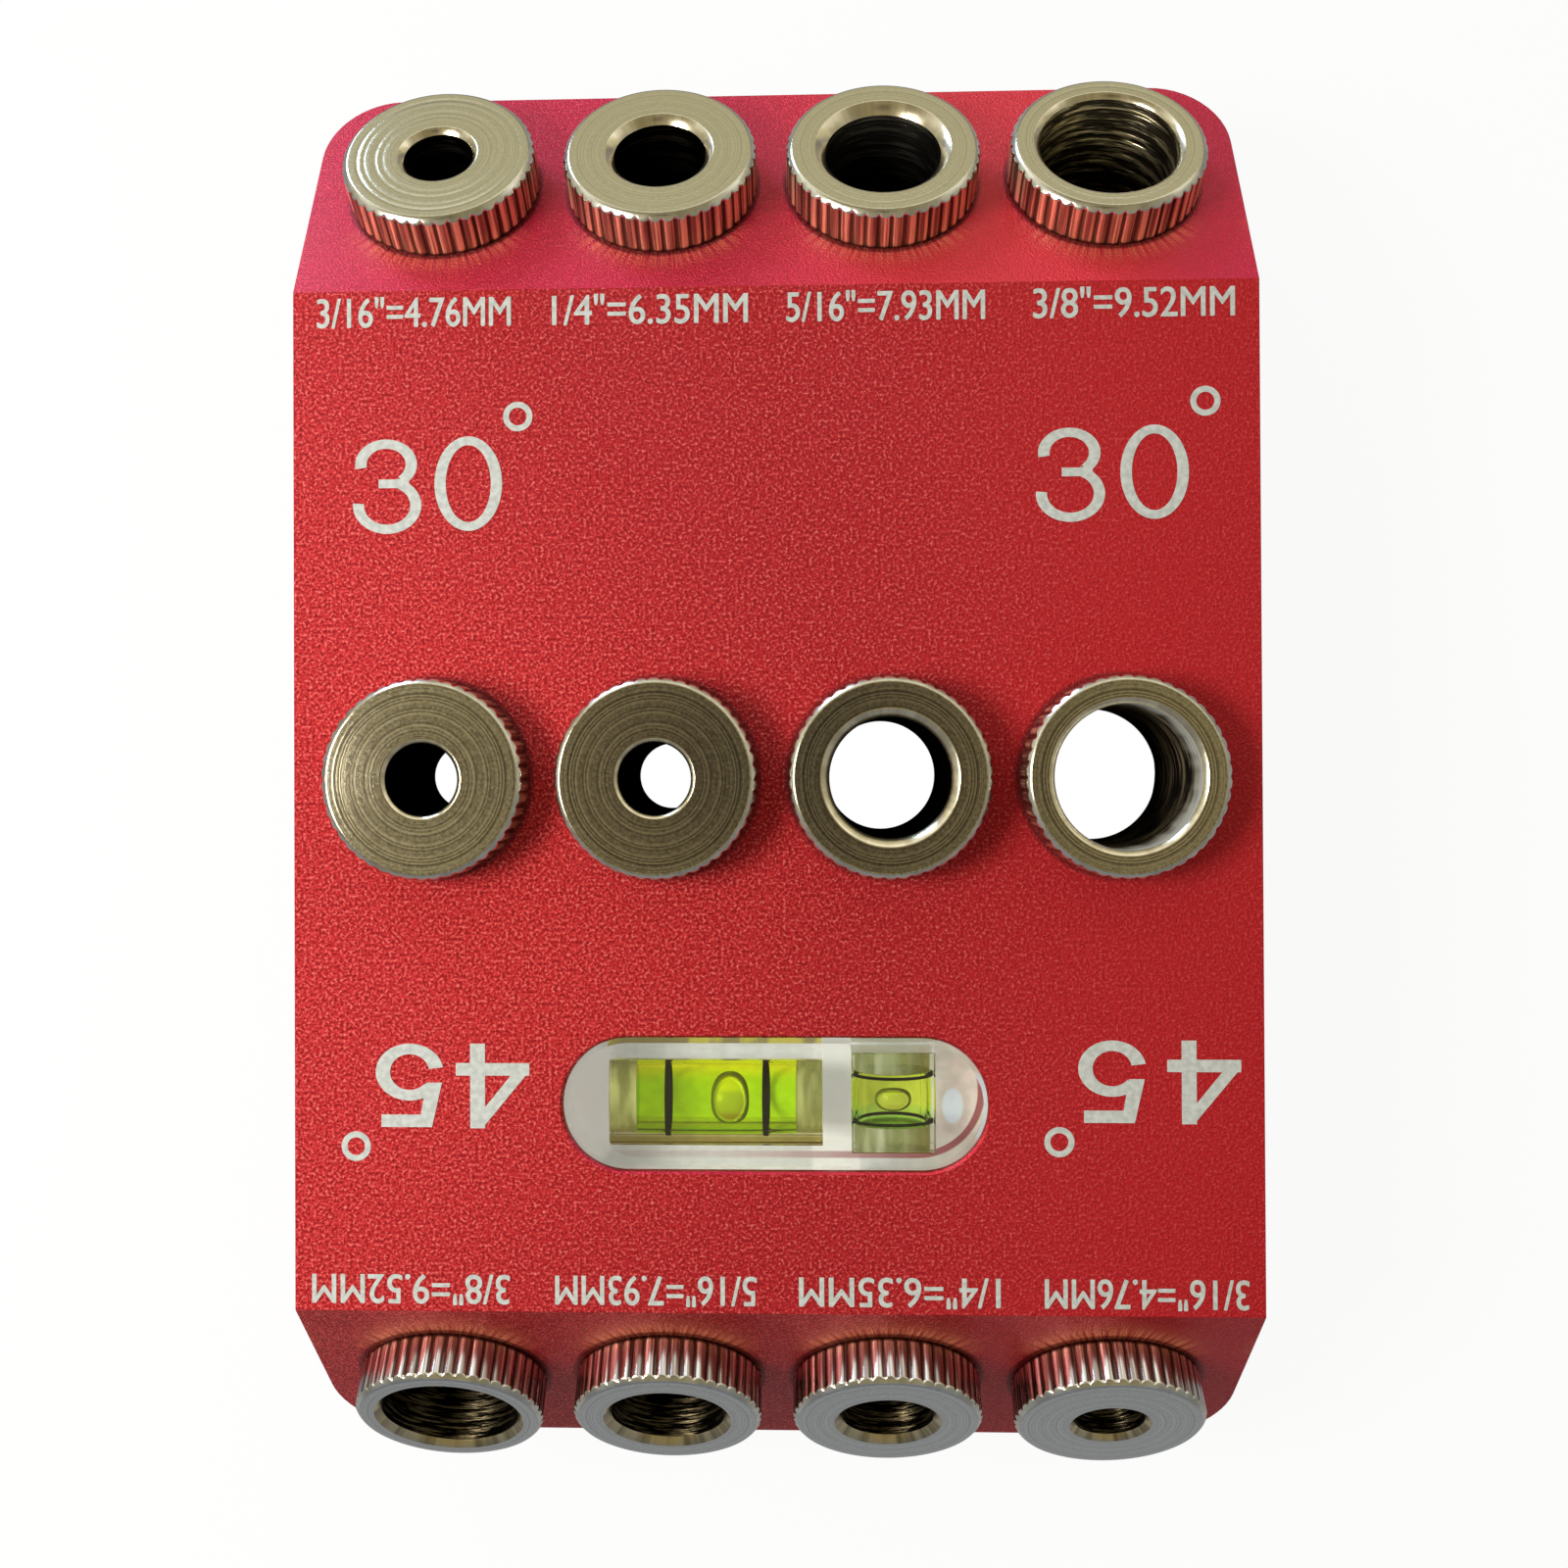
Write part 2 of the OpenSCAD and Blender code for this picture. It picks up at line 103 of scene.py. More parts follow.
class Finish:
    """A material, or the world, that is put together from nodes."""

    def __init__(self, name, world=False):
        self.owner = (bpy.data.worlds if world else bpy.data.materials).new(name)
        self.last = "ShaderNodeOutputWorld" if world else "ShaderNodeOutputMaterial"
        self.owner.use_nodes = True
        self.tree = self.owner.node_tree
        self.tree.nodes.clear()

    def node(self, kind, settings=None, values=None, out=0):
        """Any node: its settings first, then its sockets, each a value or a link."""
        made = self.tree.nodes.new(kind)
        for key, value in (settings or {}).items():
            setattr(made, key, value)
        for key, value in (values or {}).items():
            socket = made.inputs[key]
            if isinstance(value, Reading):
                self.tree.links.new(value.socket, socket)
            elif isinstance(value, tuple) and socket.type == "RGBA":
                socket.default_value = (*value, 1.0)
            else:
                socket.default_value = value
        return Reading(self, made.outputs[out]) if made.outputs else None

    def vector(self, operation, values, out="Vector"):
        return self.node("ShaderNodeVectorMath", {"operation": operation}, values, out)

    def place(self, tilt=0.0):
        """The point on the piece in millimetres, turned back about X for a piece built tilted."""
        point = self.node("ShaderNodeTexCoord", out="Object")
        point = self.vector("SCALE", {0: point, "Scale": 1.0 / MM})
        if not tilt:
            return point
        return self.node(
            "ShaderNodeVectorRotate", {"rotation_type": "X_AXIS"},
            {"Vector": point, "Angle": -math.radians(tilt)}, "Vector",
        )

    def spot(self, x, y=0.0):
        return self.node("ShaderNodeCombineXYZ", {}, {0: x, 1: y}, "Vector")

    def part(self, point, axis):
        return self.node("ShaderNodeSeparateXYZ", {}, {0: point}, axis)

    def stretch(self, point, factors):
        return self.vector("MULTIPLY", {0: point, 1: factors})

    def ray(self, point):
        """The direction in which a point lies, the same all along one spoke."""
        return self.vector("NORMALIZE", {0: point})

    def away(self, point, middle=(0.0, 0.0, 0.0), half=(1.0, 1.0)):
        """Distance from a middle in plan, 1 on the ellipse with these half sizes."""
        apart = self.vector("SUBTRACT", {0: point, 1: middle})
        flat = self.stretch(apart, (1.0 / half[0], 1.0 / half[1], 0.0))
        return self.vector("LENGTH", {0: flat}, "Value")

    def noise(self, point, scale, detail=2.0, roughness=0.5):
        return self.node(
            "ShaderNodeTexNoise", {"noise_dimensions": "3D"},
            {"Vector": point, "Scale": scale, "Detail": detail, "Roughness": roughness}, "Fac",
        )

    def steps(self, value, low, high, start=0.0, end=1.0):
        """Goes smoothly from start to end while the value goes from low to high."""
        return self.node(
            "ShaderNodeMapRange", {"interpolation_type": "SMOOTHSTEP"},
            {0: value, 1: low, 2: high, 3: start, 4: end}, "Result",
        )

    def blend(self, factor, first, second):
        """A colour between two others."""
        return self.node(
            "ShaderNodeMix", {"data_type": "RGBA"}, {0: factor, 6: first, 7: second}, 2
        )

    def bump(self, height, strength, distance, normal=None):
        values = {"Height": height, "Strength": strength, "Distance": distance * MM}
        if normal:
            values["Normal"] = normal
        return self.node("ShaderNodeBump", {}, values)

    def seen_by(self, rays):
        """1 for light of this kind, such as Camera or Shadow, and 0 for any other."""
        return self.node("ShaderNodeLightPath", out=f"Is {rays} Ray")

    def mix(self, factor, first, second):
        """A shader between two others."""
        return self.node("ShaderNodeMixShader", {}, {0: factor, 1: first, 2: second})

    def glass(self, tint, ior):
        return self.node(
            "ShaderNodeBsdfGlass", {}, {"Color": tint, "Roughness": 0.0, "IOR": ior}
        )

    def see_through(self, tint):
        return self.node("ShaderNodeBsdfTransparent", {}, {"Color": tint})

    def let_light_in(self, shader, tint):
        """Light on its way to what lies inside goes straight through, as if this were thin air."""
        passing = self.seen_by("Shadow").math("MAXIMUM", self.seen_by("Diffuse"))
        return self.mix(passing, shader, self.see_through(tint))

    def surface(self, values):
        return self.node("ShaderNodeBsdfPrincipled", {}, values)

    def done(self, shader):
        self.node(self.last, {}, {"Surface": shader})
        return self.owner


# Materials

def anodised_red():
    """Red anodised aluminium over a blasted grain, finer and glossier on the sloped ends.

    The warm streaky light that the knurled heads throw up the slope beside them is painted light,
    and the dark line where each head meets the block is a painted contact shadow.
    """
    f = Finish("anodised_red")
    point = f.place()
    x, y, z = (f.part(point, axis) for axis in "XYZ")
    facing = f.node("ShaderNodeNewGeometry", out="Normal")
    facing_y, facing_z = f.part(facing, "Y"), f.part(facing, "Z")
    slope = f.steps(facing_z, 0.98, 0.90)
    north = f.steps(facing_y, 0.1, 0.4)
    sloped = f.steps(facing_y.math("ABSOLUTE"), 0.35, 0.48) * f.steps(facing_z, 0.4, 0.6)

    # Grain, calmer and fainter towards the right. Painted shade darkens the red towards the right
    # and towards the upper and lower edges, and puts more of the dark pit colour on the right
    coarse, fine = f.noise(point, 4.8, 3.0, 0.7), f.noise(point, 6.5, 2.0, 0.6)
    grain = coarse * (1.0 - slope) + fine * slope
    painted_shade = f.steps(x + (y + 8.0).math("ABSOLUTE") * 0.7, -18.0, 18.0)
    faint = f.steps(x, 2.0, 28.0)
    lit_red, shaded_red, pit_red = (0.72, 0.026, 0.032), (0.53, 0.010, 0.017), (0.32, 0.003, 0.006)
    pit = f.steps(grain, 0.40, 0.53, faint * 0.6)
    base = f.blend(pit, pit_red, f.blend(painted_shade, lit_red, shaded_red))
    # Pale specks of grain, brightened as painted glints that fade towards the right
    speck_and_glint = f.steps(grain, 0.53, 0.66) * (1.0 - slope * 0.3)
    speck_and_glint = speck_and_glint * (1.0 - faint * 0.7) * (1.0 - painted_shade * 0.25)
    speck_glint_pink = (0.92, 0.23, 0.20)
    base = f.blend(speck_and_glint, base, speck_glint_pink)

    # The 30 degree slope is painted pink as a painted sheen of the cool lamp, and painted warmer
    # and lighter between its middle and its right end as painted light
    painted_sheen = north * f.steps(facing_z, 0.25, 0.60)
    painted_lift = f.steps(x, -6.0, 12.0) * f.steps(x, 30.0, 22.0)
    sheen_pink, lifted_red = (0.92, 0.022, 0.115), (1.0, 0.060, 0.060)
    base = f.blend(painted_sheen * 0.5, base, sheen_pink)
    base = f.blend(painted_sheen * painted_lift * 0.5, base, lifted_red)

    # Painted light that the heads throw up the slopes: column and up are the distances from the
    # nearest head's middle
    column = HEAD_PITCH / 2 - x.math("PINGPONG", HEAD_PITCH / 2)
    up_30 = (z - SEAT_Z_30) / math.sin(math.radians(30))
    up_45 = (z - SEAT_Z_45) / math.sin(math.radians(45))
    up = up_30 * north + up_45 * (1.0 - north)
    on_slope = f.spot(column, up)
    out = f.away(on_slope)
    streak = f.steps(f.noise(f.ray(on_slope), 16.0, 3.0, 0.7), 0.44, 0.60)
    near = f.steps(out, HEAD_R + 1.8, HEAD_R + 0.2)
    far = f.steps(out, HEAD_R + 3.2, HEAD_R + 0.5)
    painted_thrown_light = (near * streak * 0.85 + far * (0.26 - north * 0.14)) * sloped
    painted_thrown_light = painted_thrown_light * f.steps(up / out, 0.45, 0.9)
    glow_45, glow_30 = (0.95, 0.28, 0.15), (1.0, 0.20, 0.14)
    base = f.blend(painted_thrown_light, base, f.blend(north, glow_45, glow_30))

    # Painted contact shadow: the dark line round each head's foot, kept off the block's corners
    beside = f.away(f.spot(column, y - TOP_ROW_Y))
    painted_contact_shadow = f.steps(out, HEAD_R + 0.30, HEAD_R + 0.04) * sloped
    painted_contact_shadow = painted_contact_shadow + f.steps(beside, HEAD_R + 0.42, HEAD_R + 0.06) * (1.0 - slope)
    painted_contact_shadow = painted_contact_shadow * f.steps(x.math("ABSOLUTE"), 31.4, 30.8)
    contact_shadow_red = (0.12, 0.004, 0.004)
    base = f.blend(painted_contact_shadow * 0.7, base, contact_shadow_red)

    cloud = f.noise(point, 0.12, 2.0)
    edge = f.node("ShaderNodeBevel", {"samples": 4}, {"Radius": 0.12 * MM})
    return f.done(f.surface({
        "Base Color": base,
        "Metallic": 0.30 + slope * 0.28 - painted_thrown_light * 0.25,
        "Roughness": 0.43 - slope * 0.07 + (cloud - 0.5) * 0.08,
        "Normal": f.bump(grain * (1.0 - faint * 0.3), 1.0, 0.20, edge),
        "Specular IOR Level": 0.3, "Coat Weight": north * 0.3, "Coat Roughness": 0.3,
    }))


def turned_steel(name, light, dark, grooves, speckle, depth, tilt=0.0):
    """Steel turned in a lathe: fine rings round the axis and a faint speckle."""
    f = Finish(name)
    point = f.place(tilt)
    rings = f.noise(f.spot(f.away(point)), 5.2, 4.0, 0.75)
    broken = f.noise(f.stretch(point, (1.6, 1.6, 1.0)), 1.0, 3.0, 0.7)
    dust = f.noise(point, 5.5, 2.0, 0.6)
    mark = rings * grooves + dust * speckle + (broken - 0.5) * 0.2 * grooves
    return f.done(f.surface({
        "Base Color": f.blend(f.steps(rings + (dust - 0.5) * 0.22, 0.40, 0.60), dark, light),
        "Metallic": 1.0, "Roughness": 0.10 + dust * 0.1, "Normal": f.bump(mark, 1.0, depth),
    }))


def knurl_steel(name, light, dark, radius, dull, tilt=0.0):
    """The knurled side of a head: rolled flanks that shine unevenly with painted reflection
    streaks, and painted shade in the valleys and at the foot.
    """
    f = Finish(name)
    point = f.place(tilt)
    streak = f.noise(f.stretch(point, (2.6, 2.6, 0.06)), 1.0, 2.0, 0.7)
    base = f.blend(f.steps(streak, 0.42, 0.64), dark, light)
    # Painted shade: darker in the valleys between the teeth and at the foot
    deep = f.steps(f.away(point), radius - 0.07, radius - 0.13)
    foot = f.steps(f.part(point, "Z"), 0.42, 0.24)
    valley_shade = (0.06, 0.03, 0.02)
    return f.done(f.surface({
        "Base Color": f.blend(deep.math("MAXIMUM", foot) * 0.9, base, valley_shade),
        "Metallic": 1.0 - streak * dull, "Roughness": 0.14 + streak * 0.12,
        "Normal": f.bump(streak, 0.5, 0.04),
    }))


def plain_steel(name, colour, tilt=0.0, patchy=0.35):
    """A rim or a mouth: smooth steel with a smear, and brown patches of painted reflection that
    come and go round it.
    """
    f = Finish(name)
    point = f.place(tilt)
    smear = f.noise(point, 1.4, 3.0)
    # Painted reflection: brown patches that come and go round the axis
    round_axis = f.ray(f.stretch(point, (1.0, 1.0, 0.0)))
    painted_patch = f.steps(f.noise(round_axis, 2.6, 3.0, 0.6), 0.40, 0.62, 0.1, 1.0)
    reflection_brown = (0.16, 0.12, 0.06)
    return f.done(f.surface({
        "Base Color": f.blend(painted_patch * patchy, colour, reflection_brown), "Metallic": 1.0,
        "Roughness": 0.16 + smear * 0.1, "Normal": f.bump(smear, 0.3, 0.03),
    }))


def bore_steel(name, light, dark, pitch, depth, tilt=0.0, mouth=0.0):
    """The drilled wall of a bore, with machining rings broken along their length.

    The mouth is how strongly painted light brightens the wall just inside its upper end.
    """
    f = Finish(name)
    point = f.place(tilt)
    rings = f.noise(f.stretch(point, (0.06, 0.06, 1.0)), pitch, 3.0, 0.7)
    broken = f.noise(f.stretch(point, (0.5, 0.5, 3.0)), 1.0, 2.0)
    base = f.blend(f.steps(rings + (broken - 0.5) * 0.5, 0.47, 0.62), dark, light)
    # Painted light just inside the mouth, with a ragged lower edge
    painted_patch = f.noise(f.ray(f.stretch(point, (1.0, 1.0, 0.0))), 2.2, 2.0)
    height = f.part(point, "Z") + (broken - 0.5) * 2.0 + (painted_patch - 0.5) * 9.0
    upper = f.steps(height, HEAD_H - 4.6, HEAD_H - 1.2) * mouth
    mouth_light = (0.66, 0.66, 0.60)
    return f.done(f.surface({
        "Base Color": f.blend(upper, base, mouth_light),
        "Metallic": 1.0 - mouth * 0.35 - upper * 0.35, "Roughness": 0.34,
        "Normal": f.bump(rings, 1.0, depth),
    }))


def clear(name, ior, tint, shadow=None, zone=None):
    """A clear solid.

    A zone is a second tint, and the places along Y between which it takes over from the first.
    """
    f = Finish(name)
    glass = f.glass(tint, ior)
    if zone:
        second, start, end = zone
        along = f.part(f.place(), "Y")
        glass = f.mix(f.steps(along, start, end), glass, f.glass(second, ior))
    return f.done(f.let_light_in(glass, shadow or tint))


def plug_plastic(name, dark, light):
    """A vial's end plug: hazy plastic that lets some of what lies under it show."""
    f = Finish(name)
    haze = f.noise(f.stretch(f.place(), (1.3, 0.25, 0.5)), 1.0, 1.0)
    body = f.surface({
        "Base Color": f.blend(f.steps(haze, 0.35, 0.65), dark, light), "Roughness": 0.3,
    })
    through = f.see_through((0.90, 0.94, 0.55))
    return f.done(f.mix(f.steps(haze, 0.3, 0.7, 0.65, 0.35), body, through))


def backing(name):
    """The pale sheet under the vials, with painted light, shade and reflections for what the edges
    of the clear insert and the vials throw on it, and a faint glow that is painted light.
    """
    f = Finish(name)
    point = f.place()
    across, along = f.part(point, "X"), f.part(point, "Y")
    pale, plain_white, shade_grey = (0.86, 0.91, 0.86), (0.72, 0.77, 0.72), (0.42, 0.46, 0.42)
    base = f.blend(f.steps(f.noise(point, 1.2, 3.0), 0.3, 0.7), (0.62, 0.67, 0.62), plain_white)

    # Painted light and shade: paler on the bar between the vials and left of the long one, dimmer
    # along the lower side
    bar_middle = (LONG_RIGHT + CROSS_LEFT) / 2
    on_bar = f.steps((across - bar_middle).math("ABSOLUTE"), 1.8, 1.5)
    left_end = f.steps(across, LONG_LEFT, LONG_LEFT - 0.6)
    change = (on_bar + left_end) * 0.22 - f.steps(along, LEVEL_Y - 3.0, LEVEL_Y - 3.8) * 0.12
    base = f.blend(change.math("MAXIMUM", 0.0) * 3.0, base, pale)
    base = f.blend((change * -1.0).math("MAXIMUM", 0.0) * 3.0, base, shade_grey)

    # Painted light: the vials' colours, thrown on the sheet above them in dashes
    top = f.steps(along, LEVEL_Y + 3.45, LEVEL_Y + 3.6)
    by_long = f.steps(across, LONG_RIGHT + 0.1, LONG_RIGHT - 0.1)
    by_long = by_long * f.steps(across, LONG_LEFT - 0.2, LONG_LEFT + 0.1)
    by_cross = f.steps(across, CROSS_LEFT - 0.2, CROSS_LEFT + 0.1)
    by_cross = by_cross * f.steps(across, CROSS_RIGHT + 0.2, CROSS_RIGHT - 0.1)
    dashes = f.steps(f.noise(f.stretch(point, (0.9, 0.2, 1.0)), 1.0, 2.0), 0.42, 0.58)
    olive, yellow, grey_green = (0.30, 0.26, 0.06), (0.66, 0.62, 0.05), (0.40, 0.40, 0.26)
    base = f.blend(top * by_long * 0.85, base, f.blend(dashes, olive, yellow))
    base = f.blend(top * by_cross * 0.7, base, grey_green)

    # A painted reflection of the red pocket wall round the lower right of the pocket, and a painted
    # glare spot right of the cross vial, ringed with painted shade
    past = (across - POCKET_END_X).math("MAXIMUM", 0.0)
    below = along - LEVEL_Y
    out = ((past * past) + (below * below)).math("SQRT")
    wall_reflection = f.steps(out, REFLECTION_R, REFLECTION_R + 0.12) * f.steps(below, 1.4, 0.2)
    reflected_red, shade, sky_blue = (0.30, 0.09, 0.10), (0.40, 0.42, 0.40), (0.62, 0.84, 0.98)
    base = f.blend(wall_reflection * f.steps(across, -6.0, 12.0, 0.2, 0.95), base, reflected_red)
    glare = f.away(point, (12.3, LEVEL_Y - 1.0, 0.0), (0.75, 1.25))
    base = f.blend(f.steps(glare, 1.9, 1.2) * 0.35, base, shade)
    base = f.blend(f.steps(glare, 1.05, 0.85), base, sky_blue)
    # Painted light: the sheet glows faintly in its own colour, standing for light the clear insert
    # carries down
    return f.done(f.surface({
        "Base Color": base, "Roughness": 0.5, "Emission Color": base, "Emission Strength": 0.42,
    }))


def air(name, middle, half, painted_pale):
    """Air in the liquid: a pale middle inside the dark edge where it meets the glass, both painted:
    the middle, yellow above and brown at its foot, is painted light and reflection, and the edge
    painted shade.
    """
    f = Finish(name)
    point = f.place()
    out = f.away(point, middle, half)
    along = (f.part(point, "Y") - middle[1]) / half[1]
    lower, upper, foot = (0.56, 0.58, 0.36), (1.0, 1.0, 0.04), (0.50, 0.36, 0.20)
    tone = f.blend(f.steps(along, 0.22, 0.50), lower, upper)
    tone = f.blend(f.steps(along, -0.38, -0.58), tone, foot)
    pale = f.surface({"Base Color": tone, "Roughness": 0.25})
    dark = f.surface({"Base Color": (0.13, 0.14, 0.015), "Roughness": 0.4})
    inside = f.glass((1.0, 1.0, 0.9), AIR_IN_LIQUID)
    body = f.mix(f.steps(out, 0.76, 0.66, 0.0, painted_pale), inside, pale)
    body = f.mix(f.steps(out, 0.78, 0.90, 0.0, 0.9), body, dark)
    return f.done(f.let_light_in(body, (1.0, 1.0, 1.0)))


def plain(name, dark, light, rough, scale, shine=0.5):
    """A moulded or painted surface with a faint mottle."""
    f = Finish(name)
    mottle = f.noise(f.place(), scale, 3.0)
    return f.done(f.surface({
        "Base Color": f.blend(f.steps(mottle, 0.3, 0.7), dark, light),
        "Roughness": rough + (mottle - 0.5) * 0.1, "Normal": f.bump(mottle, 0.2, 0.01),
        "Specular IOR Level": shine,
    }))


def white_floor():
    """A pale floor that reads as white and keeps the block's shadow, but is dim in reflections and
    black in them under the block, as painted shade.
    """
    f = Finish("pale_floor")
    point = f.place()
    across, along = (f.part(point, axis).math("ABSOLUTE") for axis in "XY")
    under = f.steps(across, 32.5, 31.5) * f.steps(along, 49.5, 48.0)
    paint = f.node("ShaderNodeBsdfDiffuse", {}, {"Color": (0.9, 0.9, 0.9)})
    black = f.node("ShaderNodeBsdfDiffuse", {}, {"Color": (0.0, 0.0, 0.0)})
    glow = f.node("ShaderNodeEmission", {}, {"Color": (1.0, 1.0, 1.0), "Strength": 1.0})
    seen = f.seen_by("Camera").math("MAXIMUM", f.seen_by("Transmission"))
    open_floor = f.mix(seen * (0.93 + under * 0.07), paint, glow)
    mirrored = f.mix(f.steps(f.away(point), 60.0, 220.0, 0.36, 0.26) * (1.0 - under), black, glow)
    return f.done(f.mix(f.seen_by("Glossy"), open_floor, mirrored))


def studio_sky():
    """The room: dark overhead, brighter beyond the shallow end, and blank white to the camera."""
    f = Finish("studio", world=True)
    way = f.node("ShaderNodeTexCoord", out="Generated")
    north, up = f.part(way, "Y"), f.part(way, "Z")
    colour = f.blend(f.steps(north, -0.9, 0.9), (0.25, 0.26, 0.285), (0.64, 0.60, 0.43))
    window = f.steps(up, 0.24, 0.34) * f.steps(up, 0.66, 0.50) * f.steps(north, 0.15, 0.55)
    colour = f.blend(window, colour, (1.15, 1.12, 1.04))
    for low, high, darker in (
        (0.55, 0.90, (0.32, 0.28, 0.17)), (0.975, 0.994, (0.18, 0.14, 0.09)),
        (0.993, 0.9993, (0.06, 0.055, 0.045)),
    ):
        colour = f.blend(f.steps(up, low, high), colour, darker)
    room = f.node("ShaderNodeBackground", {}, {"Color": colour, "Strength": 1.0})
    blank = f.node("ShaderNodeBackground", {}, {"Color": (0.97, 0.97, 0.97), "Strength": 1.0})
    return f.done(f.mix(f.seen_by("Camera"), room, blank))


def set_finish(node, material):
    """Gives a CAD node's own mesh a material."""
    for slot in frame["nodes"][node].material_slots:
        slot.material = material


# Pieces

def in_scene(name, data):
    """An object for a mesh, a lamp or a camera."""
    thing = bpy.data.objects.new(name, data)
    bpy.context.scene.collection.objects.link(thing)
    return thing


def add_piece(name, vertices, faces, material, body, node=None, where=None):
    """A smooth mesh from points in millimetres, with one material or a list of them."""
    mesh = bpy.data.meshes.new(name)
    mesh.from_pydata([tuple(c * MM for c in v) for v in vertices], [], faces)
    mesh.validate()
    mesh.shade_smooth()
    for one in material if isinstance(material, (list, tuple)) else [material]:
        mesh.materials.append(one)
    piece = in_scene(name, mesh)
    if where:
        piece.matrix_world = where
    if body:
        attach(piece, body)
    if node:
        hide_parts(node)
    return piece


def ring_faces(rows, count, closed=False):
    """Quads between rings of points, each with count points."""
    faces = []
    for row in range(rows if closed else rows - 1):
        low, high = row * count, (row + 1) % rows * count
        for n in range(count):
            m = (n + 1) % count
            faces.append((low + n, low + m, high + m, high + n))
    return faces


def capped_faces(rows, count):
    """The same, with a face over the first ring and one over the last."""
    last = (rows - 1) * count
    caps = [tuple(range(count))[::-1], tuple(range(last, last + count))]
    return ring_faces(rows, count) + caps


def knurl(seed):
    """Radius of a knurled head at each step round it: broad teeth and narrow valleys."""
    draw = random.Random(seed)
    radii = []
    for _ in range(TEETH):
        depth = TOOTH_DEPTH * draw.uniform(0.7, 1.0)
        top = HEAD_R - draw.uniform(0.0, 0.03)
        lean = draw.uniform(-0.04, 0.04)
        for step in range(TOOTH_STEPS):
            phase = abs(step / TOOTH_STEPS - 0.5 + lean)
            fall = min(max((phase - LAND) / FLANK, 0.0), 1.0)
            crown = CROWN * min(phase / LAND, 1.0) ** 2
            radii.append(top - crown - (depth - CROWN) * fall * fall * (3 - 2 * fall))
    return radii


def bushing(
    name, node, bore, mouth, rounded, trim, where, seed, materials, grooves, rough_turned, tilt
):
    """A headed bushing: outline points turned round the axis, with teeth on the head.

    Each groove is the middle, the depth and the width of a ring turned in the face.
    """
    draw = random.Random(seed)
    radii = knurl(seed)
    count = len(radii)
    r = bore / 2
    head_r = HEAD_R - trim
    lip, rim = r + mouth, head_r - rounded
    profile = [(r, NIP - BODY_L, WALL), (r, HEAD_H - mouth - NIP, WALL)]
    profile += [(r + NIP, HEAD_H - mouth + 0.02, LIP), (lip - NIP, HEAD_H - 0.02, LIP)]
    turns = max(int((rim - lip) / FACE_STEP), 2)
    for n in range(turns + 1):
        at = lip + NIP + (rim - lip - 2 * NIP) * n / turns
        cut = rough_turned * draw.random() ** 2
        for middle, deep, wide in grooves:
            cut += deep * math.exp(-(((at - middle) / wide) ** 2))
        profile.append((at, HEAD_H - cut if 0 < n < turns else HEAD_H, FACE))
    rim_rows = 7
    for n in range(1, rim_rows):
        turn = math.pi / 2 * n / rim_rows
        flat = n / rim_rows
        across = (math.sin(turn) + 3 * flat) / 4
        down = (1 - math.cos(turn) + 3 * flat) / 4
        profile.append((rim + rounded * across, HEAD_H - rounded * down, EDGE))
    profile += [
        (head_r, HEAD_H - rounded, SIDE), (head_r, HEAD_H - rounded - 0.05, SIDE),
        (head_r, FOOT + 0.05, SIDE), (head_r, FOOT, SIDE), (head_r - FOOT, 0.0, SIDE),
        (BODY_R + NIP, 0.0, SIDE), (BODY_R, -NIP, SIDE), (BODY_R, LEAD - BODY_L, SIDE),
        (BODY_R - LEAD, -BODY_L, SIDE), (r + NIP, -BODY_L, WALL),
    ]
    vertices = []
    for at, z, _ in profile:
        for n in range(count):
            turn = 2 * math.pi * n / count
            here = min(at, radii[n] - trim) if 0 <= z and at > BODY_R + 0.1 else at
            vertices.append((here * math.cos(turn), here * math.sin(turn), z))
    if tilt:
        vertices = [tuple(tilt @ Vector(v)) for v in vertices]
    faces = ring_faces(len(profile), count, closed=True)
    piece = add_piece(name, vertices, faces, materials, "guide", node, where)
    for n, face in enumerate(piece.data.polygons):
        face.material_index = profile[n // count][2]


def barrel(name, node, material, middle, axis, bore, length):
    """The liquid in a vial: a barrel that swells to its middle, as the bore round it does."""
    rows, count = 25, 96
    half = length / 2
    rings = [(-half, 0.0)]
    for n in range(rows):
        along = 2 * n / (rows - 1) - 1
        rings.append((along * half, bore / 2 + SWELL * (1 - along * along)))
    rings.append((half, 0.0))
    vertices = []
    for along, radius in rings:
        for n in range(count):
            turn = 2 * math.pi * n / count
            across, up = max(radius, 0.01) * math.cos(turn), max(radius, 0.01) * math.sin(turn)
            spot = (along, across, up) if axis == "X" else (-across, along, up)
            vertices.append(tuple(a + b for a, b in zip(middle, spot)))
    faces = capped_faces(len(rings), count)
    piece = add_piece(name, vertices, faces, material, "guide", node)
    piece.data.set_sharp_from_angle(angle=math.radians(50))


def air_bubble(name, node, body, material, middle, half, bore, axis):
    """A bubble pressed up against the top of its vial, so its back follows the bore's roof."""
    rows, count = 33, 64
    full, boxy = 0.8, 0.85  # powers below 1 swell an ellipsoid towards its box
    roof = bore / 2
    vertices = []
    for row in range(rows):
        tilt = math.pi * row / (rows - 1)
        for n in range(count):
            turn = 2 * math.pi * n / count
            ring = max(math.sin(tilt), 0.002) ** full
            round_x = math.copysign(abs(math.cos(turn)) ** boxy, math.cos(turn))
            round_y = math.copysign(abs(math.sin(turn)) ** boxy, math.sin(turn))
            x, y = half[0] * ring * round_x, half[1] * ring * round_y
            drop = roof - math.sqrt(roof * roof - (y if axis == "X" else x) ** 2)
            vertices.append(
                (middle[0] + x, middle[1] + y, middle[2] + half[2] * math.cos(tilt) - drop)
            )
    add_piece(name, vertices, capped_faces(rows, count), material, body, node)


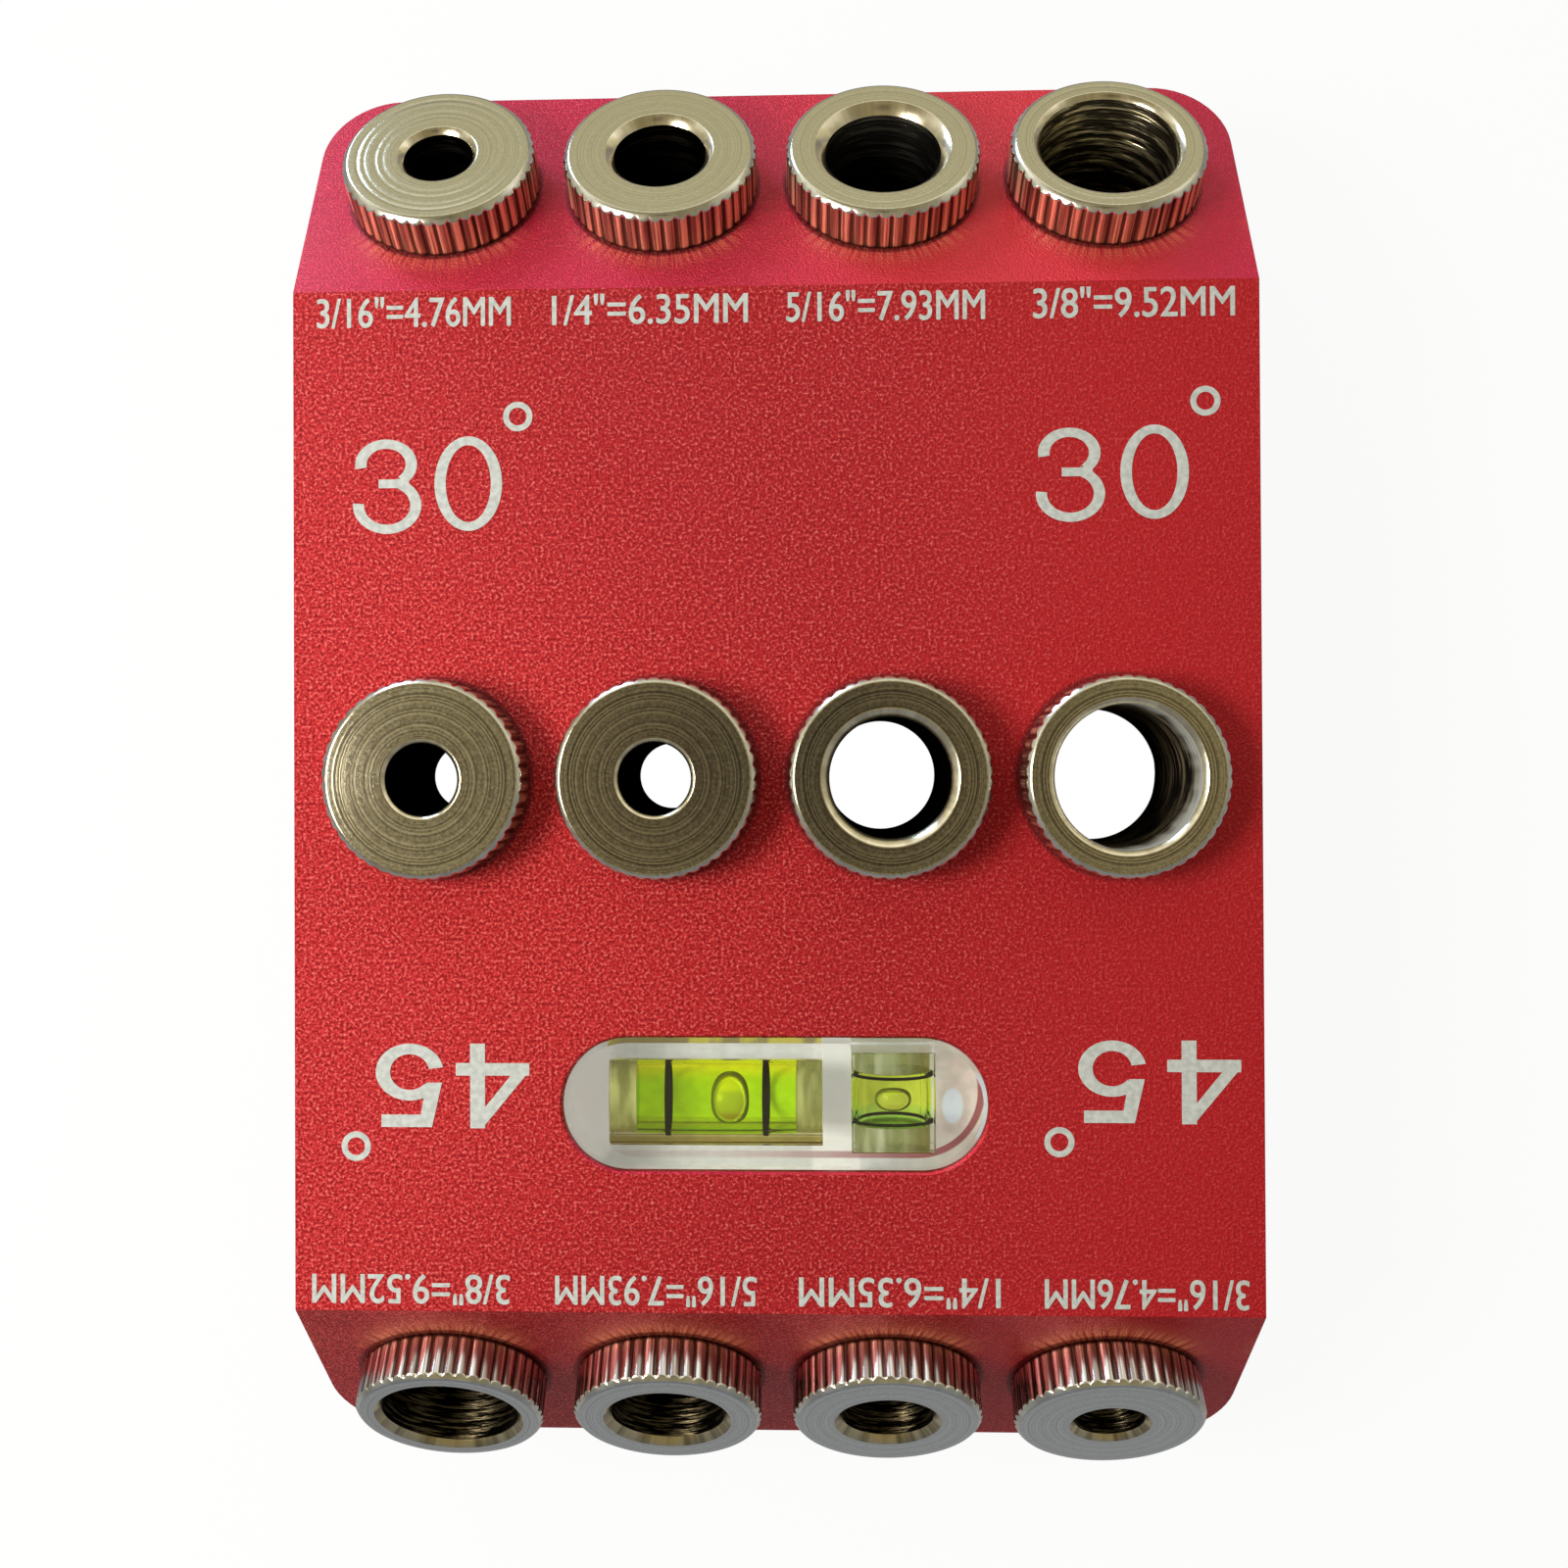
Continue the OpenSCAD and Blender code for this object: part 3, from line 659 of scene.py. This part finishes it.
def vial_block(name, node, material, middle, size):
    """The square clear block that a vial is bored in, with polished edges."""
    work = bmesh.new()
    bmesh.ops.create_cube(work, size=1.0)
    bmesh.ops.scale(work, vec=[s * MM for s in size], verts=work.verts)
    bmesh.ops.bevel(
        work, geom=list(work.edges), offset=CASE_EDGE * MM, segments=3, profile=0.5,
        affect="EDGES",
    )
    bmesh.ops.translate(work, vec=[c * MM for c in middle], verts=work.verts)
    mesh = bpy.data.meshes.new(name)
    work.to_mesh(mesh)
    work.free()
    mesh.shade_smooth()
    mesh.set_sharp_from_angle(angle=math.radians(40))
    mesh.materials.append(material)
    piece = in_scene(name, mesh)
    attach(piece, "guide")
    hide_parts(node)


# Marks

def sweep(cx, cy, outer, inner, start, end):
    """Part of an elliptical ring from one angle to another, as pairs of outer and inner points."""
    count = max(int(abs(end - start) / 8), 8)
    pairs = []
    for n in range(count + 1):
        turn = math.radians(start + (end - start) * n / count)
        c, s = math.cos(turn), math.sin(turn)
        pairs.append((
            (cx + outer[0] * c, cy + outer[1] * s), (cx + inner[0] * c, cy + inner[1] * s),
        ))
    return pairs


def bar(a, b, c, d):
    """A plain four-cornered stroke."""
    return [(a, b), (d, c)]


# Numerals one high, each a list of strokes that may overlap
NUMERALS = {
    "3": [
        sweep(0.355, 0.735, (0.330, 0.265), (0.208, 0.167), 190, -52),
        sweep(0.365, 0.300, (0.365, 0.300), (0.247, 0.202), 175, 433),
        bar((0.275, 0.484), (0.600, 0.484), (0.600, 0.576), (0.275, 0.576)),
    ],
    "0": [sweep(0.360, 0.523, (0.360, 0.500), (0.240, 0.407), 0, 360)],
    "4": [
        bar((0.528, 0.0), (0.705, 0.0), (0.705, 1.0), (0.528, 1.0)),
        bar((0.0, 0.229), (0.876, 0.229), (0.876, 0.377), (0.0, 0.377)),
        bar((0.0, 0.324), (0.210, 0.360), (0.640, 0.890), (0.562, 1.0)),
    ],
    "5": [
        bar((0.140, 0.840), (0.743, 0.840), (0.743, 0.988), (0.140, 0.988)),
        bar((0.019, 0.462), (0.205, 0.462), (0.300, 0.988), (0.140, 0.988)),
        sweep(0.405, 0.337, (0.405, 0.337), (0.234, 0.212), 190, 500),
    ],
}


def angle_mark(name, digits, box, ring, turned, material):
    """A two-digit angle that fills a box on the top face, and its degree ring."""
    x0, x1, y0, y1 = box
    high = y1 - y0
    vertices, faces = [], []

    def draw(pairs, level):
        """One stroke as a thin solid, each a layer above the one before."""
        first = len(vertices)
        for pair in pairs:
            for z in (MARK_UP + LAYER * level, MARK_DOWN):
                vertices.extend((x, y, z) for x, y in pair)
        for n in range(len(pairs) - 1):
            a, b = first + 4 * n, first + 4 * n + 4
            faces.extend([
                (a, a + 1, b + 1, b), (a + 3, a + 2, b + 2, b + 3),
                (a + 2, a, b, b + 2), (a + 1, a + 3, b + 3, b + 1),
            ])
        if pairs[0] != pairs[-1]:
            a, b = first, len(vertices) - 4
            faces.extend([(a + 1, a, a + 2, a + 3), (b, b + 1, b + 3, b + 2)])

    level = 0
    for digit, left in zip(digits, (True, False)):
        strokes = NUMERALS[digit]
        wide = max(p[0] for line in strokes for pair in line for p in pair)
        for line in strokes:
            placed = []
            for pair in line:
                spots = []
                for px, py in pair:
                    x = px * high if left else (x1 - x0) - (wide - px) * high
                    y = py * high
                    spots.append((x1 - x, y1 - y) if turned else (x0 + x, y0 + y))
                placed.append(tuple(spots))
            draw(placed, level)
            level += 1
    draw(sweep(ring[0], ring[1], (1.0, 1.0), (0.6, 0.6), 0, 360), 0)
    piece = add_piece(name, vertices, faces, material, "guide")
    piece.data.shade_flat()


def size_mark(name, words, box, turned, material):
    """A drill size in small letters that fill a box on the top face, drawn thrice for weight."""
    curve = bpy.data.curves.new(name, "FONT")
    curve.body, curve.resolution_u = words, 4
    holder = in_scene(name + "_draft", curve)
    bpy.context.view_layer.update()
    draft = bpy.data.meshes.new_from_object(
        holder.evaluated_get(bpy.context.evaluated_depsgraph_get())
    )
    bpy.data.objects.remove(holder)
    points = [v.co.xy for v in draft.vertices]
    lows = [min(p[k] for p in points) for k in (0, 1)]
    highs = [max(p[k] for p in points) for k in (0, 1)]
    x0, x1, y0, y1 = box
    vertices, faces = [], []
    for copy, (dx, dy) in enumerate(((-BOLD, NUDGE), (0.0, -NUDGE), (BOLD, NUDGE))):
        start = len(vertices)
        for p in points:
            across = (p[0] - lows[0]) / (highs[0] - lows[0])
            up = (p[1] - lows[1]) / (highs[1] - lows[1])
            if turned:
                across, up = 1 - across, 1 - up
            vertices.append((
                x0 + BOLD + across * (x1 - x0 - 2 * BOLD) + dx,
                y0 + NUDGE + up * (y1 - y0 - 2 * NUDGE) + dy, MARK_UP + LAYER * copy,
            ))
        faces += [tuple(start + v for v in face.vertices) for face in draft.polygons]
    bpy.data.meshes.remove(draft)
    piece = add_piece(name, vertices, faces, material, "guide")
    piece.data.shade_flat()


def lamp(name, place, size, power, colour):
    """A round soft lamp that no camera sees, aimed at the middle of the block."""
    light = bpy.data.lights.new(name, "AREA")
    light.shape, light.size, light.energy, light.color = "DISK", size * MM, power, colour
    holder = in_scene(name, light)
    way = Vector((0.0, 0.0, 15.0)) - Vector(place)
    holder.matrix_world = (
        Matrix.Translation(Vector(place) * MM) @ way.to_track_quat("-Z", "Y").to_matrix().to_4x4()
    )
    holder.visible_camera = False


# Camera, fitted to the photograph
lens = bpy.data.cameras.new("camera")
camera = in_scene("camera", lens)
camera.location = (0.002218, 0.001277, 0.126384)
camera.rotation_euler = (0.00707122, 0.036044, -0.00438979)
lens.sensor_width, lens.lens = 36.0, 36.3908
lens.shift_x, lens.shift_y = 0.022378, -0.026341
lens.clip_start, lens.clip_end = 0.001, 20.0
bpy.context.scene.camera = camera
bpy.context.scene.view_settings.view_transform = "Standard"

# Floor
REACH, FLOOR_Z = 1500, -0.02
floor = add_piece(
    "floor",
    [(x * REACH, y * REACH, FLOOR_Z) for x, y in ((-1, -1), (1, -1), (1, 1), (-1, 1))],
    [(0, 1, 2, 3)], white_floor(), None,
)

# Light: a soft lamp from the left, a cooler one from behind on the left, and the room
lamp("key_lamp", (-155.0, 4.0, 185.0), size=102.0, power=0.44, colour=(1.0, 0.97, 0.93))
lamp("cool_lamp", (-300.0, 504.0, 70.0), size=200.0, power=1.5, colour=(0.50, 0.68, 1.0))
bpy.context.scene.world = studio_sky()

# Block
set_finish("guide_block", anodised_red())

# Bushings. The 45 degree row's pieces are built tilted, so its finishes turn their point back
# The rows' steel colours are partly painted reflection: olive on the 30 degree row, warm gold on
# the 90 degree row and cool grey on the 45 degree row, for the parts of the room each reflects
OLIVE, OLIVE_DARK = (0.65, 0.62, 0.48), (0.53, 0.50, 0.38)
WARM_STEEL, WARM_DARK = (0.72, 0.66, 0.48), (0.26, 0.225, 0.16)
COLD_STEEL, COLD_DARK = (0.66, 0.68, 0.68), (0.46, 0.47, 0.47)
grooved = turned_steel(
    "steel_grooved", OLIVE, OLIVE_DARK, grooves=0.2, speckle=0.4, depth=0.012,
)
satin = turned_steel(
    "steel_satin", OLIVE, OLIVE_DARK, grooves=0.15, speckle=0.6, depth=0.014,
)
lathed = turned_steel(
    "steel_turned", WARM_STEEL, WARM_DARK, grooves=1.0, speckle=0.08, depth=0.009,
)
low_satin = turned_steel(
    "steel_satin_tilted", COLD_STEEL, COLD_DARK, grooves=0.2, speckle=0.8, depth=0.014, tilt=45.0,
)
# Painted reflection: the 30 and 90 degree rows' knurls are copper for the red block they mirror,
# and the 45 degree row's are lightened to white as painted light
sides = (
    knurl_steel("steel_knurled", (1.0, 0.66, 0.42), (0.28, 0.16, 0.11), HEAD_R, dull=0.45),
    knurl_steel(
        "steel_knurled_tilted", (1.0, 1.0, 1.0), (0.36, 0.30, 0.27), HEAD_R - LOW_TRIM,
        dull=0.0, tilt=45.0,
    ),
)
# The mouths' gold is painted reflection of the warm room, with a darker copy on the 45 degree row
GOLD, LOW_GOLD, PALE = (0.85, 0.77, 0.56), (0.66, 0.57, 0.36), (0.80, 0.78, 0.68)
lips = (
    plain_steel("steel_mouth", GOLD),
    plain_steel("steel_mouth_tilted", LOW_GOLD, tilt=45.0, patchy=0.8),
)
edges = plain_steel("steel_rim", PALE), plain_steel("steel_rim_tilted", PALE, tilt=45.0)
# Painted shade: the bores' dark colours, near black in the narrow and tilted bores, stand for the
# depth of the holes
narrow = bore_steel(
    "bore_narrow", (0.05, 0.04, 0.03), (0.004, 0.003, 0.002), pitch=2.0, depth=0.08,
)
middling = bore_steel(
    "bore_middling", (0.17, 0.16, 0.13), (0.055, 0.05, 0.042), pitch=2.6, depth=0.06,
)
coarse = bore_steel(
    "bore_coarse", (0.85, 0.74, 0.46), (0.07, 0.058, 0.04), pitch=2.6, depth=0.12,
)
upright = bore_steel(
    "bore_upright", (0.5, 0.40, 0.24), (0.03, 0.02, 0.017), pitch=2.2, depth=0.14, mouth=0.9,
)
low_bore = bore_steel(
    "bore_tilted", (0.14, 0.11, 0.06), (0.002, 0.0015, 0.001), pitch=4.0, depth=0.12, tilt=45.0,
)

# Each row from left to right: bore, mouth, face, wall, depth of the turning, grooves in the face
ROWS = {
    "30": (
        (4.76, 0.4, grooved, narrow, 0.002, [
            (3.85, 0.012, 0.13), (4.35, 0.016, 0.15), (5.1, 0.012, 0.13), (5.6, 0.018, 0.15),
        ]),
        (6.35, 0.55, satin, narrow, 0.0015, []),
        (7.93, 0.7, satin, middling, 0.002, [(5.7, 0.008, 0.14)]),
        (9.52, 0.36, satin, coarse, 0.002, [(5.75, 0.010, 0.14)]),
    ),
    "90": (
        (4.76, 0.25, lathed, narrow, 0.003, []),
        (4.76, 0.25, lathed, narrow, 0.003, []),
        (7.93, 0.55, lathed, narrow, 0.003, []),
        (9.52, 0.36, lathed, upright, 0.003, []),
    ),
    "45": (
        (9.52, 0.45, low_satin, low_bore, 0.002, []),
        (7.93, 0.5, low_satin, low_bore, 0.002, []),
        (6.35, 0.5, low_satin, low_bore, 0.002, []),
        (4.76, 0.4, low_satin, low_bore, 0.002, []),
    ),
}
TILT = Matrix.Rotation(math.radians(45), 3, "X")
seats = {}
for mount in frame["record"]["mounts"]:
    if mount["name"].startswith("drill_"):
        seats.setdefault(mount["name"].split("_")[1], []).append(mount)
for row, heads in ROWS.items():
    low = row == "45"
    row_seats = sorted(seats[row], key=lambda m: m["pos_m"][0])
    for n, (mount, head) in enumerate(zip(row_seats, heads)):
        bore, mouth, face, wall, rough_turned, grooves = head
        axis, side = Vector(mount["axis"]), Vector((1.0, 0.0, 0.0))
        where = Matrix.Translation(Vector(mount["pos_m"]))
        if not low:
            where = where @ Matrix((side, axis.cross(side), axis)).transposed().to_4x4()
        bushing(
            f"knurled_bushing_{row}_{n + 1}", f"bushing_{row}_{n + 1}", bore, mouth,
            rounded=0.4 if low else 0.42, trim=LOW_TRIM if low else 0.0, where=where,
            seed=int(row) * 10 + n, materials=[face, sides[low], wall, lips[low], edges[low]],
            grooves=grooves, rough_turned=rough_turned, tilt=TILT if low else None,
        )

# Level
CLEAR, WHITE, BRIGHT = (0.985, 0.99, 0.96), (1.0, 1.0, 1.0), (0.97, 0.99, 0.80)
clear_insert = clear("clear_insert", ACRYLIC, (0.99, 0.995, 0.985))
clear_vial = clear("clear_vial", ACRYLIC, CLEAR, shadow=WHITE)
# Painted light and shade in the zones: the long case is olive and the green liquid greener towards
# -Y, the lime yellower towards +Y
long_case = clear(
    "clear_vial_long", ACRYLIC, CLEAR, shadow=WHITE,
    zone=((0.72, 0.66, 0.42), LEVEL_Y - 2.2, LEVEL_Y - 2.4),
)
lime = clear(
    "lime_liquid", LIQUID_IN_ACRYLIC, (0.76, 0.98, 0.05), shadow=BRIGHT,
    zone=((0.98, 1.0, 0.08), LEVEL_Y + 0.9, LEVEL_Y + 2.3),
)
green = clear(
    "green_liquid", LIQUID_IN_ACRYLIC, (0.93, 1.0, 0.32), shadow=BRIGHT,
    zone=((0.74, 0.98, 0.40), LEVEL_Y - 0.75, LEVEL_Y - 0.95),
)
black = plain(
    "black_ring", (0.0, 0.001, 0.0), (0.002, 0.004, 0.002), rough=0.6, scale=2.0, shine=0.0,
)
set_finish("level_insert", clear_insert)
set_finish("level_backing", backing("white_backing"))
set_finish("long_vial_plugs", plug_plastic("plug_long", (0.30, 0.31, 0.10), (0.66, 0.68, 0.26)))
set_finish("cross_vial_plugs", plug_plastic("plug_cross", (0.34, 0.38, 0.20), (0.48, 0.53, 0.32)))
set_finish("long_vial_rings", black)
set_finish("cross_vial_rings", black)
LONG, CROSS = (-4.0, LEVEL_Y, VIAL_Z), (8.0, LEVEL_Y, VIAL_Z)
vial_block("long_vial_case", "long_vial_body", long_case, LONG, (14.4, 5.7, VIAL_H))
vial_block("cross_vial_case", "cross_vial_body", clear_vial, CROSS, (5.6, 6.7, VIAL_H))
barrel("long_vial_fill", "long_vial_liquid", lime, LONG, "X", LONG_BORE, length=10.76)
barrel("cross_vial_fill", "cross_vial_liquid", green, CROSS, "Y", CROSS_BORE, length=3.56)
LONG_AIR, LONG_HALF = (-3.08, LEVEL_Y, VIAL_Z + 1.55), (1.29, 1.85, 0.80)
CROSS_AIR, CROSS_HALF = (8.0, LEVEL_Y + 0.1, VIAL_Z + 1.95), (1.25, 0.78, 0.46)
air_bubble(
    "long_vial_air", "long_vial_bubble", "long_bubble",
    air("long_air", LONG_AIR, LONG_HALF, painted_pale=0.75), LONG_AIR, LONG_HALF, LONG_BORE, "X",
)
air_bubble(
    "cross_vial_air", "cross_vial_bubble", "cross_bubble",
    air("cross_air", CROSS_AIR, CROSS_HALF, painted_pale=0.25), CROSS_AIR, CROSS_HALF, CROSS_BORE, "Y",
)

# Marks on the top face: left, right, lower and upper side of each
pale = plain("pale_marks", (0.47, 0.50, 0.48), (0.62, 0.65, 0.63), rough=0.55, scale=2.5)
angle_mark("mark_30_left", "30", (-28.42, -18.23, 16.31, 22.72), (-17.16, 24.17), False, pale)
angle_mark("mark_30_right", "30", (17.63, 27.78, 16.68, 22.98), (28.89, 24.67), False, pale)
angle_mark("mark_45_left", "45", (-26.96, -16.52, -23.88, -18.18), (-28.31, -25.12), True, pale)
angle_mark("mark_45_right", "45", (20.22, 30.96, -23.42, -17.87), (18.95, -24.64), True, pale)
SIZES = ('3/16"=4.76MM', '1/4"=6.35MM', '5/16"=7.93MM', '3/8"=9.52MM')
UPPER = ((-30.87, -17.60), (-14.81, -1.55), (1.01, 14.33), (17.51, 30.88))
LOWER = ((-31.35, -17.88), (-14.83, -1.24), (1.57, 15.01), (17.92, 31.41))
for n, (x0, x1) in enumerate(UPPER):
    size_mark(f"size_upper_{n + 1}", SIZES[n], (x0, x1, 30.3, 32.4), False, pale)
for n, (x0, x1) in enumerate(LOWER):
    size_mark(f"size_lower_{n + 1}", SIZES[3 - n], (x0, x1, -35.8, -33.72), True, pale)
